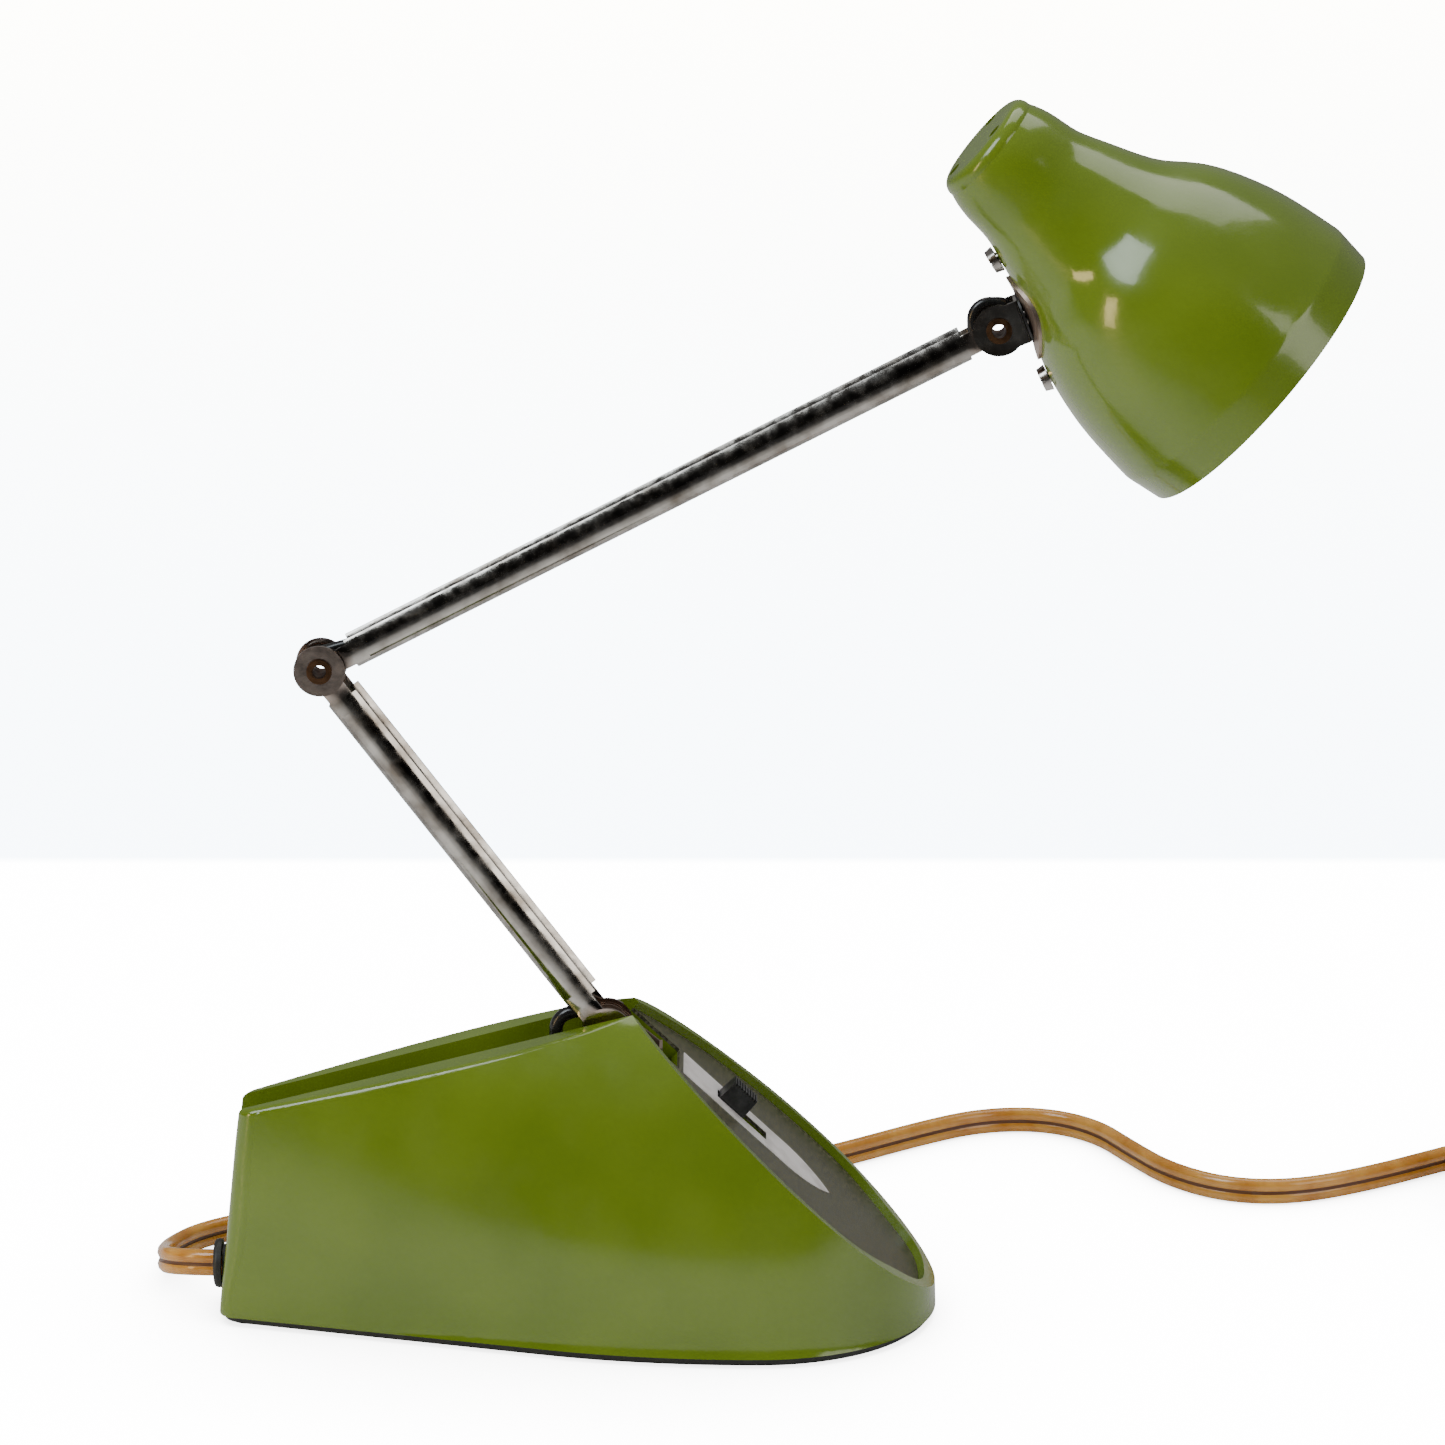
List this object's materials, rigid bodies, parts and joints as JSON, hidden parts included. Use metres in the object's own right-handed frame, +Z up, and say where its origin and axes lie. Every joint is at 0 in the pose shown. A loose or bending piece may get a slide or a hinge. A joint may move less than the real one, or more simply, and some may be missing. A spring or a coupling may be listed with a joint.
{
  "type": "swing arm desk lamp",
  "caption": "Low-voltage desk lamp: green wedge base with a recessed sloping panel, folding channel arms and a swivelling bell shade.",
  "frame": {"origin": "centre of the base's underside, in the lamp's middle plane", "axes": "+X towards the nose of the base, +Y across the lamp away from the side with the cord's far end near, +Z up"},
  "size_m": [0.4311, 0.158, 0.2896],
  "materials": {
    "green_paint": "gloss",
    "grey_panel": "fine speckle",
    "label_film": "satin",
    "black_plastic": "satin",
    "black_rubber": "matte",
    "zinc_steel": "satin",
    "iron_core": "varnished",
    "copper_winding": "varnished",
    "bronze_paint": "satin",
    "nickel": "polished",
    "fibre_washer": "matte",
    "amber_cord": "translucent gloss",
    "amber_plug": "gloss",
    "brass_blades": "satin",
    "black_cable": "gloss",
    "black_steel": "satin",
    "socket_resin": "satin",
    "brass_base": "polished",
    "frosted_glass": "frosted"
  },
  "bodies": {
    "base": {"base_shell": "green_paint", "face_panel": "grey_panel", "label_strip": "label_film", "bottom_plate": "black_plastic", "base_pad": "black_rubber", "bottom_screws": "zinc_steel", "transformer_core": "iron_core", "transformer_coil": "copper_winding", "transformer_strap": "zinc_steel", "strap_screws": "zinc_steel", "switch_body": "black_plastic", "cord_grommet": "black_rubber", "mains_lead": "black_cable", "secondary_lead": "black_cable", "pivot_bracket": "bronze_paint", "shoulder_eyelet": "nickel", "shoulder_washers": "fibre_washer", "power_cord": "amber_cord", "cord_coil": "amber_cord", "cord_tail": "amber_cord", "coil_tie": "black_plastic", "plug_body": "amber_plug", "plug_blades": "brass_blades", "shoulder_lead": "black_cable"},
    "switch": {"switch_knob": "black_plastic"},
    "lower": {"lower_arm": "nickel", "lower_wire": "black_cable", "elbow_eyelet": "nickel", "elbow_washers": "fibre_washer", "elbow_lead": "black_cable"},
    "upper": {"upper_arm": "nickel", "upper_wire": "black_cable", "head_eyelet": "nickel", "head_washers": "fibre_washer", "head_lead": "black_cable"},
    "bracket": {"head_clevis": "nickel", "swivel_rivet": "nickel"},
    "head": {"shade": "green_paint", "swivel_washer": "black_steel", "mounting_plate": "bronze_paint", "shade_screws": "nickel", "socket_bracket": "zinc_steel", "socket_carrier": "zinc_steel", "socket": "socket_resin", "bulb_base": "brass_base", "bulb_glass": "frosted_glass", "lamp_lead": "black_cable"}
  },
  "joints": [
    {"name": "shoulder", "type": "hinge", "parent": "base", "child": "lower", "pos_m": [0.0065, 0, 0.0714], "axis": [0, -1, 0], "range_deg": [-50, 66], "deforming": ["shoulder_lead"]},
    {"name": "elbow", "type": "hinge", "parent": "lower", "child": "upper", "pos_m": [-0.0587, 0, 0.159], "axis": [0, 1, 0], "range_deg": [-95, 50], "deforming": ["elbow_lead"]},
    {"name": "head_tilt", "type": "hinge", "parent": "upper", "child": "bracket", "pos_m": [0.0955, 0, 0.2383], "axis": [0, 1, 0], "range_deg": [-60, 85], "deforming": ["head_lead"]},
    {"name": "head_swivel", "type": "hinge", "parent": "bracket", "child": "head", "pos_m": [0.0955, 0, 0.2383], "axis": [0.9298, 0, 0.3681], "range_deg": [-90, 90]},
    {"name": "switch_slide", "type": "slide", "parent": "base", "child": "switch", "axis": [0.723, 0, -0.6909], "range_m": [0, 0.0075]}
  ]
}
